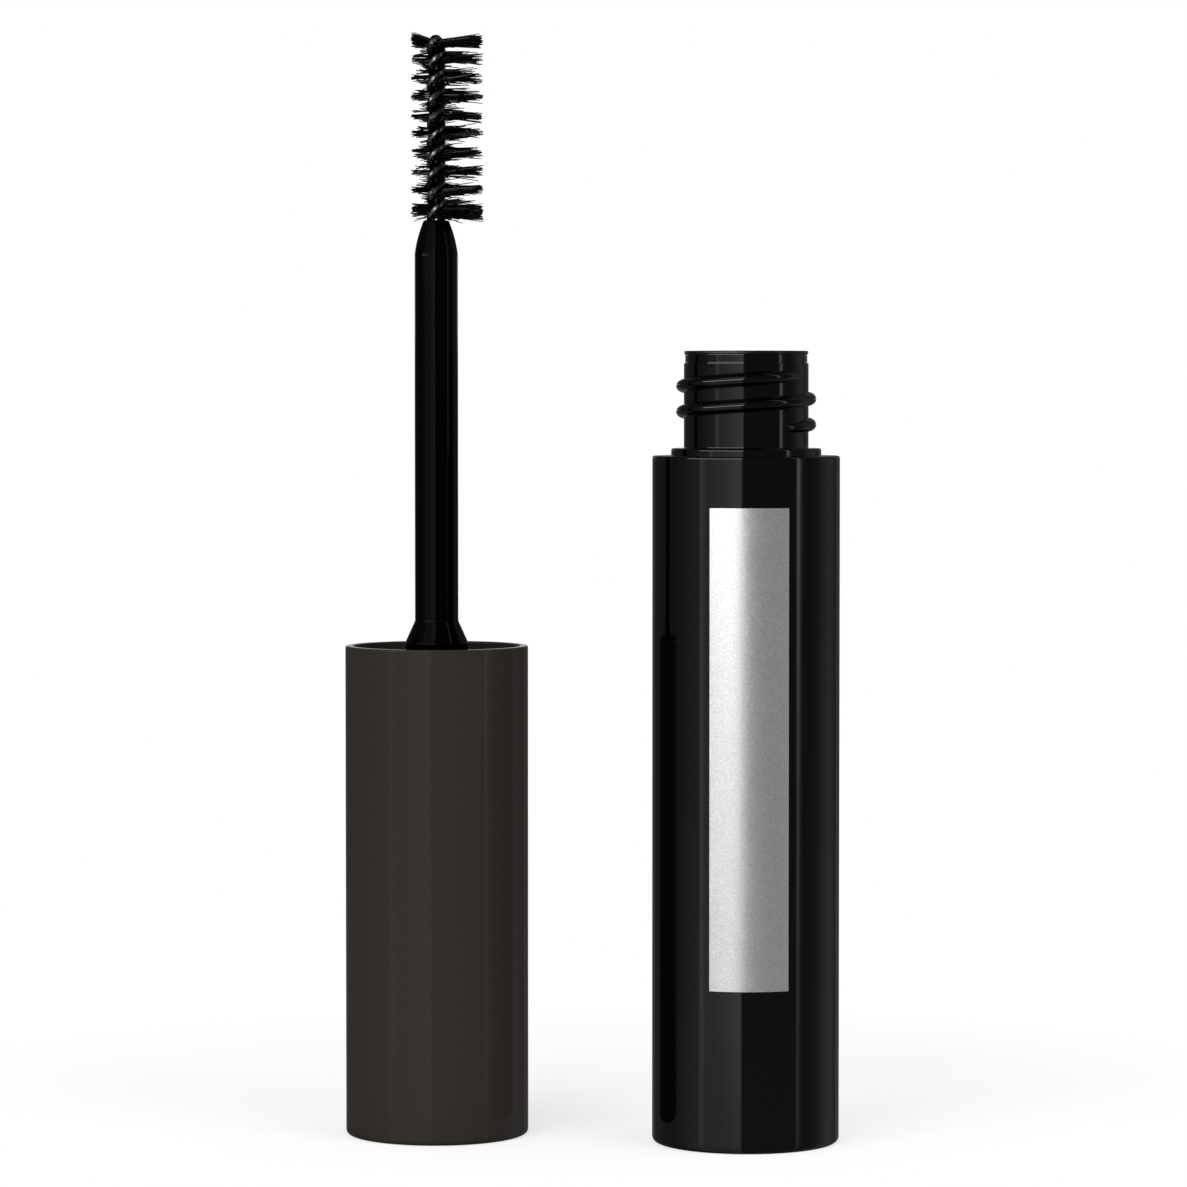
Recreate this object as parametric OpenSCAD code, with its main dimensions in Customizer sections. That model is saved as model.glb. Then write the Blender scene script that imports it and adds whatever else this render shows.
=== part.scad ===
// Small gel mascara tube, opened: the bottle stands on its foot, and beside it the cap
// stands upside down on its closed end with the wand and brush pointing up.
// Millimetres, +Z up. The origin is the centre of the bottle's foot, on the table.
// The photographed front is the -Y side.

/* [Bottle sleeve] */
// Outside diameter of the bottle
bottle_d = 14; // [13.6:0.1:16]
// Height of the sleeve from the table to its shoulder
bottle_h = 51.4; // [40:0.1:80]
// Wall of the sleeve
sleeve_wall = 1.35; // [0.8:0.05:1.5]
// Thickness of the sleeve's floor
sleeve_floor = 1.2; // [0.6:0.1:4]
// Edge radius round the foot
foot_r = 0.4; // [0.1:0.05:0.8]
// Edge radius round the shoulder
shoulder_r = 0.15; // [0.05:0.05:0.4]

/* [Vial] */
// Wall of the vial
vial_wall = 0.9; // [0.6:0.05:1.2]
// Thickness of the vial's floor
vial_floor = 1; // [0.6:0.1:3]
// How far the vial's collar stands above the sleeve's shoulder
collar_h = 0.55; // [0.3:0.05:0.7]
// Edge radius of the collar
collar_r = 0.12; // [0.05:0.01:0.25]
// Outside diameter of the neck
neck_d = 9.3; // [8.8:0.05:9.7]
// Height of the neck above the sleeve's shoulder
neck_h = 7.55; // [6.8:0.05:10]
// Wall of the neck
neck_wall = 1; // [0.7:0.05:1.2]
// How far the land at the top of the neck is set in
land_inset = 0.1; // [0.05:0.01:0.2]
// Height of that land
land_h = 0.65; // [0.3:0.05:1]

/* [Thread] */
// Rise of the thread in one turn
thread_pitch = 1.915; // [1.8:0.005:2.1]
// How far the neck's thread stands out
thread_depth = 0.58; // [0.4:0.02:0.66]
// Width of the neck's thread at its root
thread_root_w = 1.2; // [0.9:0.05:1.3]
// Width of the neck's thread at its crest
thread_crest_w = 0.4; // [0.2:0.05:0.5]
// Turns of the neck's thread
thread_turns = 2.07; // [1.2:0.01:2.3]
// Direction in which the neck's thread starts, seen from above
thread_angle = -65; // [-180:5:180]
// Height above the shoulder at which the neck's thread starts
thread_start_h = 1.98; // [1.6:0.02:2.2]
// Turns of the inner cap's thread
cap_thread_turns = 1.5; // [1:0.05:1.6]
// Radial play between neck and inner cap
thread_play = 0.2; // [0.1:0.02:0.26]

/* [Wiper] */
// Thickness of the flange on top of the neck
flange_h = 0.25; // [0.2:0.05:0.6]
// Wall of the wiper's tube
wiper_wall = 0.7; // [0.5:0.05:0.9]
// Depth of the wiper below the top of the neck
wiper_depth = 12.4; // [11:0.1:16]
// Height of the cone that leads to the wiping lip
wiper_cone_h = 2.8; // [1.5:0.1:4]
// Thickness of the wiping lip
lip_wall = 0.35; // [0.2:0.05:0.6]
// How much smaller the lip is than the stem, on the diameter
lip_squeeze = 0.17; // [0:0.01:0.5]

/* [Foil panel] */
// Height of the foil above the table
foil_z = 12.1; // [2:0.1:15]
// Length of the foil along the bottle
foil_h = 35.6; // [10:0.1:36]
// Width of the foil round the bottle
foil_w = 6.12; // [2:0.02:12]
// Direction of the foil's centre, from the front towards the right
foil_angle = 2.5; // [-90:0.5:90]
// Thickness of the foil
foil_t = 0.04; // [0.02:0.01:0.2]

/* [Overcap] */
// How far the cap's side is set in from the bottle's
cap_inset = 0.1; // [0:0.05:0.3]
// Height of the cap
cap_h = 37; // [30:0.1:50]
// Wall of the overcap
cap_wall = 0.62; // [0.4:0.02:0.8]
// Thickness of the overcap's closed end
cap_end = 0.9; // [0.6:0.1:3]
// Edge radius of the closed end
cap_end_r = 0.35; // [0.1:0.05:0.6]
// Edge radius of the rim
rim_r = 0.12; // [0.05:0.01:0.18]
// Where the cap stands, across
cap_x = -23.25; // [-60:0.25:-18]
// Where the cap stands, towards the back
cap_y = 3.9; // [-10:0.1:20]

/* [Inner cap] */
// How far the inner cap's mouth lies below the rim
mouth_recess = 0.8; // [0.7:0.05:1.2]
// Thickness of the web under the washer
web_h = 1.2; // [0.8:0.1:2]
// Wall of the socket that holds the stem
socket_wall = 1.2; // [0.8:0.1:1.5]
// Thickness of the socket's floor
socket_floor = 1; // [0.6:0.1:2]
// Thickness of the sealing washer
washer_h = 0.8; // [0.5:0.05:1]
// How far the washer's edge lies inside the thread
washer_inset = 0.06; // [0.02:0.02:0.2]

/* [Wand] */
// Diameter of the stem
stem_d = 3.27; // [2.8:0.01:3.6]
// How far the stem reaches above the rim
stem_reach = 32.03; // [20:0.01:33]
// Diameter of the stem's collar
stem_collar_d = 4.76; // [4:0.01:5]
// How far the collar reaches above the rim
stem_collar_reach = 0.24; // [0:0.02:1.5]
// Height of the cone between collar and stem
stem_cone_h = 1.64; // [1:0.02:3]
// Diameter of the stem's flat tip
tip_d = 1.9; // [1.8:0.02:2.6]
// Length of the stem's rounded tip
tip_h = 2.65; // [1:0.05:5]
// Fullness of that tip: 1 is a cone, more is rounder
tip_curve = 1.65; // [1:0.05:3]
// Diameter of the plug in the socket
plug_d = 5.6; // [5.2:0.05:6]
// Length of the plug in the socket
plug_h = 6.5; // [3:0.1:9]

/* [Brush] */
// Diameter of one strand of the twisted wire
wire_d = 0.64; // [0.4:0.02:0.66]
// Length of wire held in the stem
wire_grip = 6.5; // [4:0.1:12]
// Rise of the twist in one turn
twist_pitch = 2.816; // [2.4:0.01:3.4]
// Height of the lowest bristles above the stem's tip
brush_gap = 0.45; // [0.35:0.01:1.5]
// Length of the wire that carries bristles
brush_len = 13.02; // [8:0.02:20]
// Diameter that the brush is trimmed to
brush_d = 5.34; // [4:0.02:7]
// How far the trimmed shape lies to the side of the wire
brush_offset = 0.83; // [0:0.01:1]
// Direction in which the lowest bristles point
brush_angle = 122; // [0:1:180]
// Bristles in the whole brush
bristle_count = 400; // [300:2:500]
// Width of a bristle at its tip
bristle_tip_d = 0.06; // [0.03:0.01:0.1]
// Most that a bristle leans up or down, in degrees
bristle_lean = 3; // [0:0.5:6]
// Most that a bristle falls short of the trimmed shape
bristle_ragged = 0.22; // [0:0.02:0.5]
// Width of the band in which the bristles are rooted
band_w = 1.6; // [1.4:0.05:2]
// Thickness of that band, and width of a bristle at its root
band_t = 0.1; // [0.08:0.01:0.14]

/* [Fits] */
// Gap all round between the vial and the sleeve
vial_fit = 0.05; // [0.02:0.01:0.1]
// Gap all round between the wiper and the neck
wiper_fit = 0.03; // [0.02:0.01:0.08]
// Gap all round between the inner cap and the overcap
liner_fit = 0.03; // [0.02:0.01:0.08]
// Gap all round between the stem's plug and its socket
plug_fit = 0.03; // [0.02:0.01:0.08]
// Gap all round between the stem's collar and the washer
washer_fit = 0.07; // [0.04:0.01:0.1]
// Gap all round between the twisted wire and its hole
wire_fit = 0.04; // [0.02:0.01:0.1]
// Gap between a wire strand and the band of bristles
band_fit = 0.03; // [0.02:0.01:0.05]
// Gap where one part stands on another
seat_gap = 0.05; // [0.02:0.01:0.1]
// Gap between the closed cap's rim and the bottle's shoulder
close_gap = 0.1; // [0.05:0.05:0.3]
// Height of the beads that snap one part into another
bead_h = 0.12; // [0.06:0.02:0.16]

/* [Hidden] */
$fn = 96;
ROUND_STEPS = 5;      // facets in an edge radius
THREAD_STEP = 10;     // degrees between two rings of a thread
THREAD_FADE = 50;     // degrees over which a thread's end rises out of its wall
THREAD_SINK = 0.15;   // how far a thread's root lies inside its wall
THREAD_SHOULDER = 0.8; // share of a thread's depth at which its flank turns to the crest
TWIST_STEPS = 12;     // rings in one turn of the wire
WIRE_SIDES = 6;
BEND_STEPS = 6;       // rings round the fold at the wire's end
BRISTLE_SEED = 11;
ROOT_SHARE = 0.6;     // share of the band's edge that the bristles' roots take up

// Bottle
bottle_r = bottle_d / 2;
sleeve_bore_r = bottle_r - sleeve_wall;
vial_r = sleeve_bore_r - vial_fit;
vial_bore_r = vial_r - vial_wall;
vial_z = sleeve_floor + seat_gap;
vial_edge_r = vial_wall * 2 / 3;
collar_top = bottle_h + collar_h;
neck_r = neck_d / 2;
neck_bore_r = neck_r - neck_wall;
neck_top = bottle_h + neck_h;
neck_root_z = bottle_h - vial_wall;
vial_slope = vial_bore_r - neck_bore_r;
vial_snap_z = bottle_h - 4 * sleeve_wall;

// Wiper
wiper_r = neck_bore_r - wiper_fit;
wiper_bore_r = wiper_r - wiper_wall;
flange_top = neck_top + flange_h;
wiper_low = neck_top - wiper_depth;
wiper_cone_z = wiper_low + wiper_cone_h;
lip_r = (stem_d - lip_squeeze) / 2;
wiper_snap_z = neck_top - 2 * land_h;

// Cap, in its own frame: closed end at z = 0, rim at z = cap_h
cap_r = bottle_r - cap_inset;
cap_bore_r = cap_r - cap_wall;
liner_r = cap_bore_r - liner_fit;
liner_foot_z = cap_end + seat_gap;
liner_mouth_z = cap_h - mouth_recess;
liner_bore_r = neck_r + thread_depth + thread_play;
closed_z = bottle_h + close_gap + cap_h;
washer_top = closed_z - flange_top - seat_gap;
washer_z = washer_top - washer_h;
web_top = washer_z - seat_gap;
web_z = web_top - web_h;
socket_r = plug_d / 2 + plug_fit;
socket_low = web_top - plug_h - seat_gap;
boss_r = socket_r + socket_wall;

// Threads: the inner cap's ridge lies midway between the neck's ridges when closed
cap_thread_depth = thread_depth;
cap_thread_crest_r = liner_bore_r - cap_thread_depth;
ridge_gap = thread_pitch - thread_root_w;
cap_thread_crest_w = ridge_gap - thread_play;
cap_thread_root_w = cap_thread_crest_w + (thread_root_w - thread_crest_w) / 2;
neck_thread_z = bottle_h + thread_start_h;
cap_thread_z = closed_z - neck_thread_z - thread_pitch * 3 / 2;

// Washer
washer_bore_r = stem_collar_d / 2 + washer_fit;
washer_r = cap_thread_crest_r - washer_inset;

// Stem
stem_r = stem_d / 2;
stem_top = cap_h + stem_reach;
stem_collar_top = cap_h + stem_collar_reach;
plug_low = web_top - plug_h;
plug_snap_z = web_top - plug_h / 2;
plug_edge = plug_d / 20;

// Brush
band_r = band_w / 2;
strand_r = wire_d / 2;
strand_at = band_t / 2 + band_fit + strand_r;
bundle_r = strand_at + strand_r;
wire_hole_r = bundle_r + wire_fit;
wire_low = stem_top - wire_grip;
band_low = stem_top + brush_gap;
band_high = band_low + brush_len;
brush_r = brush_d / 2;
bristle_flare = 12;    // degrees that the topmost bristles lean up

// Points of an arc about [x, z] from angle a to angle b
function arc(x, z, r, a, b) = [
    for (i = [0:ROUND_STEPS])
        let (t = a + (b - a) * i / ROUND_STEPS)
        [x + r * cos(t), z + r * sin(t)]
];

// Points of a small ring that stands out from a wall at r, or is cut into it, about height z
function bead(r, z, h) = [[r, z - 2 * h], [r + h, z - h / 2], [r + h, z + h / 2], [r, z + 2 * h]];

function reversed(list) = [for (i = [len(list) - 1:-1:0]) list[i]];

// A point at radius r, angle a and height z
function polar(r, a, z) = [r * cos(a), r * sin(a), z];

function unit(v) = v / norm(v);

// Height of the thread at a thread angle: 0 at both ends, 1 between
function fade(a, span) = min(1, sin(min(90, 90 * min(a, span - a) / THREAD_FADE)));

// Two triangles of a four-sided face, whose corners run clockwise seen from outside
function quad(a, b, c, d) = [[a, b, c], [a, c, d]];

// Faces of a tube given ring by ring. Seen from the end that the tube runs to, the points of
// each ring run anticlockwise.
function tube_faces(rings, sides) = concat(
    [for (i = [0:rings - 2], j = [0:sides - 1])
        let (k = (j + 1) % sides)
        each quad((i + 1) * sides + j, (i + 1) * sides + k, i * sides + k, i * sides + j)],
    [[for (j = [0:sides - 1]) j]],
    [[for (j = [sides - 1:-1:0]) (rings - 1) * sides + j]]
);

// Right-handed thread ridge. It stands out from a wall at wall_r by depth: outwards if depth
// is positive, inwards if it is negative.
module thread(wall_r, depth, root_w, crest_w, z, angle, turns) {
    span = 360 * turns;
    rings = ceil(span / THREAD_STEP) + 1;
    way = depth > 0 ? 1 : -1;
    foot = wall_r - way * THREAD_SINK;
    // Half of the profile, as [distance from the foot, half width]. The flank runs on below
    // the wall at its own slope.
    shoulder_h = THREAD_SHOULDER * abs(depth);
    shoulder_w = (root_w + crest_w) / 2;
    foot_w = root_w + (root_w - shoulder_w) / shoulder_h * THREAD_SINK;
    half = [
        [0, foot_w / 2],
        [THREAD_SINK + shoulder_h, shoulder_w / 2],
        [THREAD_SINK + abs(depth), crest_w / 2]
    ];
    profile = concat(
        [for (p = half) [p[0], way * p[1]]],
        [for (p = reversed(half)) [p[0], -way * p[1]]]
    );
    sides = len(profile);
    points = [
        for (i = [0:rings - 1])
            let (a = span * i / (rings - 1), f = fade(a, span))
            for (p = profile)
                let (sunk = min(p[0], THREAD_SINK / 2))
                let (rise = sunk + (p[0] - sunk) * f)
                polar(foot + way * rise, angle + a, z + thread_pitch * a / 360 + p[1])
    ];
    polyhedron(points, tube_faces(rings, sides), convexity = 10);
}

// The cap's own frame, where the cap stands beside the bottle
module at_cap() {
    translate([cap_x, cap_y, 0]) children();
}

// ---------------------------------------------------------------- bottle

// Outer sleeve: a cup with a closed foot, and a groove that the vial snaps into
module bottle_sleeve() {
    profile = concat(
        [[0, 0]],
        arc(bottle_r - foot_r, foot_r, foot_r, -90, 0),
        arc(bottle_r - shoulder_r, bottle_h - shoulder_r, shoulder_r, 0, 90),
        [[sleeve_bore_r, bottle_h]],
        reversed(bead(sleeve_bore_r, vial_snap_z, bead_h)),
        [[sleeve_bore_r, sleeve_floor], [0, sleeve_floor]]
    );
    color([0.05, 0.05, 0.055]) rotate_extrude() polygon(profile);
}

// Outline of the vial without its thread
function vial_profile() = concat(
    [[0, vial_z]],
    arc(vial_r - vial_edge_r, vial_z + vial_edge_r, vial_edge_r, -90, 0),
    bead(vial_r, vial_snap_z, bead_h - vial_fit / 2),
    arc(vial_r - collar_r, collar_top - collar_r, collar_r, 0, 90),
    [
        [neck_r, collar_top],
        [neck_r, neck_top - land_h],
        [neck_r - land_inset, neck_top - land_h],
        [neck_r - land_inset, neck_top],
        [neck_bore_r, neck_top]
    ],
    reversed(bead(neck_bore_r, wiper_snap_z, bead_h)),
    [
        [neck_bore_r, neck_root_z],
        [vial_bore_r, neck_root_z - vial_slope]
    ],
    arc(vial_bore_r - vial_edge_r, vial_z + vial_floor + vial_edge_r, vial_edge_r, 0, -90),
    [[0, vial_z + vial_floor]]
);

// Vial: holds the gel, and carries the threaded neck
module vial() {
    color([0.06, 0.06, 0.065])
    union() {
        rotate_extrude() polygon(vial_profile());
        thread(neck_r, thread_depth, thread_root_w, thread_crest_w,
            neck_thread_z, thread_angle, thread_turns);
    }
}

// Wiper: a flange on the neck, a tube in it and a lip that strips the wand
module wiper() {
    cone_low_r = lip_r + lip_wall;
    lead = wiper_wall / 3;
    profile = concat(
        [
            [lip_r, wiper_low],
            [cone_low_r, wiper_low],
            [wiper_r, wiper_cone_z]
        ],
        bead(wiper_r, wiper_snap_z, bead_h - wiper_fit / 2),
        [
            [wiper_r, neck_top],
            [neck_r - land_inset / 4, neck_top],
            [neck_r - land_inset / 4, flange_top],
            [wiper_bore_r + lead, flange_top],
            [wiper_bore_r, flange_top - lead],
            [wiper_bore_r, wiper_cone_z],
            [lip_r, wiper_low + lip_wall]
        ]
    );
    color([0.08, 0.08, 0.08]) rotate_extrude() polygon(profile);
}

// Foil panel: a thin curved strip on the front of the sleeve
module foil_panel() {
    span = foil_w / bottle_r * 180 / PI;
    color([0.8, 0.8, 0.8])
    rotate([0, 0, foil_angle - 90 - span / 2])
        rotate_extrude(angle = span)
            translate([bottle_r, foil_z]) square([foil_t, foil_h]);
}

// ---------------------------------------------------------------- cap and wand

// Overcap: the shell that the hand holds
module overcap() {
    profile = concat(
        [[0, 0]],
        arc(cap_r - cap_end_r, cap_end_r, cap_end_r, -90, 0),
        arc(cap_r - rim_r, cap_h - rim_r, rim_r, 0, 90),
        arc(cap_bore_r + rim_r, cap_h - rim_r, rim_r, 90, 180),
        [[cap_bore_r, cap_end], [0, cap_end]]
    );
    color([0.2, 0.18, 0.17]) at_cap() rotate_extrude() polygon(profile);
}

// Inner cap: threaded mouth above a web, the stem's socket, and a skirt down to the closed end
module inner_cap() {
    profile = concat(
        [
            [liner_bore_r, liner_foot_z],
            [liner_r, liner_foot_z],
            [liner_r, liner_mouth_z],
            [liner_bore_r, liner_mouth_z],
            [liner_bore_r, web_top],
            [socket_r, web_top]
        ],
        reversed(bead(socket_r, plug_snap_z, bead_h)),
        [
            [socket_r, socket_low],
            [0, socket_low],
            [0, socket_low - socket_floor],
            [boss_r, socket_low - socket_floor],
            [boss_r, web_z],
            [liner_bore_r, web_z]
        ]
    );
    color([0.1, 0.1, 0.1])
    at_cap()
        union() {
            rotate_extrude() polygon(profile);
            thread(liner_bore_r, -cap_thread_depth, cap_thread_root_w, cap_thread_crest_w,
                cap_thread_z, -thread_angle, cap_thread_turns);
        }
}

// Sealing washer: loose round the stem's collar, pressed by the neck when the cap is closed
module sealing_washer() {
    color([0.15, 0.15, 0.15])
    at_cap()
        translate([0, 0, washer_z])
            difference() {
                cylinder(h = washer_h, r = washer_r);
                translate([0, 0, -washer_h / 2]) cylinder(h = 2 * washer_h, r = washer_bore_r);
            }
}

// Radius of the stem's rounded tip at a height below the tip
function tip_radius(down) = stem_r - (stem_r - tip_d / 2) * pow((tip_h - down) / tip_h, tip_curve);

// Wand stem: plug, collar, cone and rod in one, with a hole for the wire in its tip
module wand_stem() {
    profile = concat(
        [
            [0, plug_low],
            [plug_d / 2 - plug_edge, plug_low],
            [plug_d / 2, plug_low + plug_edge]
        ],
        bead(plug_d / 2, plug_snap_z, bead_h - plug_fit / 2),
        [
            [plug_d / 2, web_top],
            [stem_collar_d / 2, web_top],
            [stem_collar_d / 2, stem_collar_top],
            [stem_r, stem_collar_top + stem_cone_h]
        ],
        [for (i = [2 * ROUND_STEPS:-1:0])
            let (down = tip_h * i / (2 * ROUND_STEPS))
            [tip_radius(down), stem_top - down]],
        [
            [wire_hole_r, stem_top],
            [wire_hole_r, wire_low - seat_gap],
            [0, wire_low - seat_gap]
        ]
    );
    color([0.04, 0.04, 0.045]) at_cap() rotate_extrude() polygon(profile);
}

// Direction of the bristles at a height
function twist(z) = brush_angle + 360 * (z - band_low) / twist_pitch;

// Middle line of one wire strand, as [point, outward direction]; side is 90 or -90
function strand_line(side) = [
    let (rings = ceil((band_high - wire_low) / twist_pitch * TWIST_STEPS))
    for (i = [0:rings])
        let (z = wire_low + strand_r + (band_high - wire_low - strand_r) * i / rings)
        let (a = twist(z) + side)
        [polar(strand_at, a, z), polar(1, a, 0)]
];

// The whole wire: up one strand, round the fold at its end and down the other
function wire_line() =
    let (a = twist(band_high) + 90)
    concat(
        strand_line(90),
        [for (i = [1:BEND_STEPS - 1])
            let (t = 180 * i / BEND_STEPS)
            let (out = polar(cos(t), a, sin(t)))
            [[0, 0, band_high] + strand_at * out, out]],
        reversed(strand_line(-90))
    );

// Ring of a round tube at a point of its line, square to the way from before to after
function tube_ring(here, out, before, after, r, sides) =
    let (along = unit(after - before))
    let (side_a = unit(out - (out * along) * along))
    let (side_b = cross(along, side_a))
    [for (j = [0:sides - 1])
        let (t = 360 * j / sides)
        here + r * (side_a * cos(t) + side_b * sin(t))];

// Twisted wire: one wire folded in half and twisted round the bristles
module twisted_wire() {
    line = wire_line();
    last = len(line) - 1;
    points = [
        for (i = [0:last])
            for (p = tube_ring(line[i][0], line[i][1], line[max(i - 1, 0)][0],
                    line[min(i + 1, last)][0], strand_r, WIRE_SIDES))
                p
    ];
    color([0.35, 0.35, 0.36])
    at_cap() polyhedron(points, tube_faces(last + 1, WIRE_SIDES), convexity = 10);
}

// Reach of a bristle from the wire to the trimmed shape, in a direction
function trim_reach(a) =
    brush_offset * cos(a) + sqrt(pow(brush_r, 2) - pow(brush_offset * sin(a), 2));

// The four end points of a bristle that points along direction a from height z
function bristle_tip(a, z, reach, lean) = [
    for (corner = [[-1, -1], [1, -1], [1, 1], [-1, 1]])
        let (side = corner[0] * bristle_tip_d / 2, up = corner[1] * bristle_tip_d / 2)
        polar(reach, a, z + (reach - band_r) * tan(lean) + up) + side * [-sin(a), cos(a), 0]
];

// Faces of a bristle between its root, the corners a to d of the band's edge, and its tip,
// whose four points start at t
function bristle_faces(a, b, c, d, t) = concat(
    quad(a, t, t + 1, b), quad(b, t + 1, t + 2, c), quad(c, t + 2, t + 3, d), quad(d, t + 3, t, a),
    quad(t + 3, t + 2, t + 1, t)
);

// Bristles: fibres held by their middle in a thin twisted band between the wire's strands. Each
// leaves the band on both sides, and the two rows wind round with it. The band has a ring of
// four corners under each fibre and one over it, and its edge between those two is the root.
module brush_bristles() {
    fibres = floor(bristle_count / 2);
    step = brush_len / fibres;
    root_h = step * ROOT_SHARE;
    heights = [for (k = [0:fibres - 1]) band_low + step * (k + 0.5)];
    leans = rands(-bristle_lean, bristle_lean, 2 * fibres, BRISTLE_SEED);
    shorts = rands(0, bristle_ragged, 2 * fibres, BRISTLE_SEED + 1);
    corners = [[1, -1], [1, 1], [-1, 1], [-1, -1]];
    band_points = [
        for (k = [0:fibres - 1], end = [-1, 1])
            let (z = heights[k] + end * root_h / 2)
            let (a = twist(z))
            for (c = corners)
                polar(c[0] * band_r, a, z) + c[1] * band_t / 2 * [-sin(a), cos(a), 0]
    ];
    tips = [
        for (k = [0:fibres - 1], row = [0, 1])
            let (a = twist(heights[k]) + 180 * row)
            let (flare = bristle_flare * max(0, 1 - 2 * (band_high - heights[k]) / twist_pitch))
            each bristle_tip(a, heights[k], trim_reach(a) - shorts[2 * k + row], leans[2 * k + row] + flare)
    ];
    last = 2 * fibres - 1;
    faces = concat(
        [for (i = [0:last - 1], j = [0:3])
            let (low = 4 * i + j, low2 = 4 * i + (j + 1) % 4)
            each (i % 2 == 0 && j % 2 == 0)
                ? bristle_faces(low, low2, low2 + 4, low + 4, len(band_points) + 4 * (i + j / 2))
                : quad(low + 4, low2 + 4, low2, low)],
        quad(0, 1, 2, 3),
        quad(4 * last + 3, 4 * last + 2, 4 * last + 1, 4 * last)
    );
    color([0.03, 0.03, 0.03])
    at_cap() polyhedron(concat(band_points, tips), faces, convexity = 10);
}

bottle_sleeve();
vial();
wiper();
foil_panel();
overcap();
inner_cap();
sealing_washer();
wand_stem();
twisted_wire();
brush_bristles();
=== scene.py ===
"""Looks of a small gel mascara tube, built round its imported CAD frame.

The bottle stands upright with its threaded neck bare. Beside it the cap stands upside down on
its closed end, with the wand and the twisted-wire brush pointing up. Sizes are in millimetres
in the classes below, and every mesh is made in metres in the CAD row frame: the origin is the
centre of the bottle's foot, +Z is up, and the photographed front is the -Y side.
"""

import logging
import math
import random
from dataclasses import dataclass, field, replace
from enum import Enum
from typing import Any, Mapping, Sequence

import bmesh
import bpy
from mathutils import Matrix, Vector


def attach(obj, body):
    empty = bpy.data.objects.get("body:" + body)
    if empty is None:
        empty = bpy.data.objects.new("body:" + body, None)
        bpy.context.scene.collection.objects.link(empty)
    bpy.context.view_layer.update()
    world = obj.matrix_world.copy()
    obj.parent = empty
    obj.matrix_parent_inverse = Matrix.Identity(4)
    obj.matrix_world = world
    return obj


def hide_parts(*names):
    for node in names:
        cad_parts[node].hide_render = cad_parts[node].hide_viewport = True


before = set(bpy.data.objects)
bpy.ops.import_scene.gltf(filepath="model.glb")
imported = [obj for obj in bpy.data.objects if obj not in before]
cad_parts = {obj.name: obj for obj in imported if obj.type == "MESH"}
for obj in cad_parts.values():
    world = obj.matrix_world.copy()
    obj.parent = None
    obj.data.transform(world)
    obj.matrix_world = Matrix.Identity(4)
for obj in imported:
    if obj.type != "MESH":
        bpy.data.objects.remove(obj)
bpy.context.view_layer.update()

log = logging.getLogger("mascara_tube")

MM = 0.001
ORIGIN = (0.0, 0.0, 0.0)
SPIN_STEPS = 192
SHARP_ANGLE = math.radians(35)
ROUND_SEGMENTS = 5
# Vertices closer than this are merged
WELD = 1e-8
# Walls from this length on are held flat, by a corner this far from each end
WALL_FROM = 0.3 * MM
WALL_HOLD = 0.035 * MM
# Nearly all values of a noise texture lie between these two
NOISE_LOW, NOISE_HIGH = 0.3, 0.7
WHITE = "#FFFFFF"

Rgba = tuple[float, float, float, float]
Tree = bpy.types.NodeTree
Socket = bpy.types.NodeSocket
BMesh = bmesh.types.BMesh


class Body(Enum):
    """CAD bodies that the pieces ride on."""

    BOTTLE = "bottle"
    WASHER = "washer"
    WAND_CAP = "wand_cap"


# ---------------------------------------------------------------- helpers


def srgb(code: str) -> Rgba:
    """Turns an sRGB hex colour into linear values.

    Args:
        code: the colour as "#RRGGBB".

    Returns:
        Linear red, green, blue and an alpha of 1.
    """
    shares = [int(code[i : i + 2], 16) / 255 for i in (1, 3, 5)]
    lin = [c / 12.92 if c <= 0.04045 else ((c + 0.055) / 1.055) ** 2.4 for c in shares]
    return (lin[0], lin[1], lin[2], 1.0)


def add_node(
    tree: Tree, kind: str, inputs: Mapping[Any, Any] | None = None, **settings: Any
) -> bpy.types.Node:
    """Adds one node to a tree.

    Args:
        tree: the node tree.
        kind: the node's type name.
        inputs: socket name or number to a value, or to the output socket it is linked to.
        **settings: attributes of the node itself.

    Returns:
        The new node.
    """
    node = tree.nodes.new(kind)
    for name, value in settings.items():
        setattr(node, name, value)
    for key, value in (inputs or {}).items():
        if isinstance(value, Socket):
            tree.links.new(value, node.inputs[key])
        else:
            node.inputs[key].default_value = value
    return node


def new_material(name: str) -> tuple[bpy.types.Material, Tree]:
    """Makes an empty node material.

    Args:
        name: the material's name.

    Returns:
        The material and its cleared node tree.
    """
    material = bpy.data.materials.new(name)
    material.use_nodes = True
    material.node_tree.nodes.clear()
    return material, material.node_tree


def new_object(name: str, data: bpy.types.ID) -> bpy.types.Object:
    """Makes an object and links it to the scene.

    Args:
        name: the object's name.
        data: its mesh, curve, lamp or camera.

    Returns:
        The new object.
    """
    made = bpy.data.objects.new(name, data)
    bpy.context.scene.collection.objects.link(made)
    return made


def graph(tree: Tree, value: Socket, stops: Sequence[tuple[float, float]]) -> Socket:
    """Maps a value through a line graph.

    Args:
        tree: the node tree.
        value: the output socket that runs along the graph.
        stops: places along the graph in rising order, each with its height there.

    Returns:
        The height as a grey.
    """
    low, high = stops[0][0], stops[-1][0]
    share = add_node(tree, "ShaderNodeMapRange", {"Value": value, 1: low, 2: high})
    ramp = add_node(tree, "ShaderNodeValToRGB", {0: share.outputs[0]})
    elements = ramp.color_ramp.elements
    elements.remove(elements[-1])
    for index, (place, grey) in enumerate(stops):
        share_here = (place - low) / (high - low)
        element = elements[0] if index == 0 else elements.new(share_here)
        element.position = share_here
        element.color = (grey, grey, grey, 1.0)
    return ramp.outputs[0]


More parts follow.
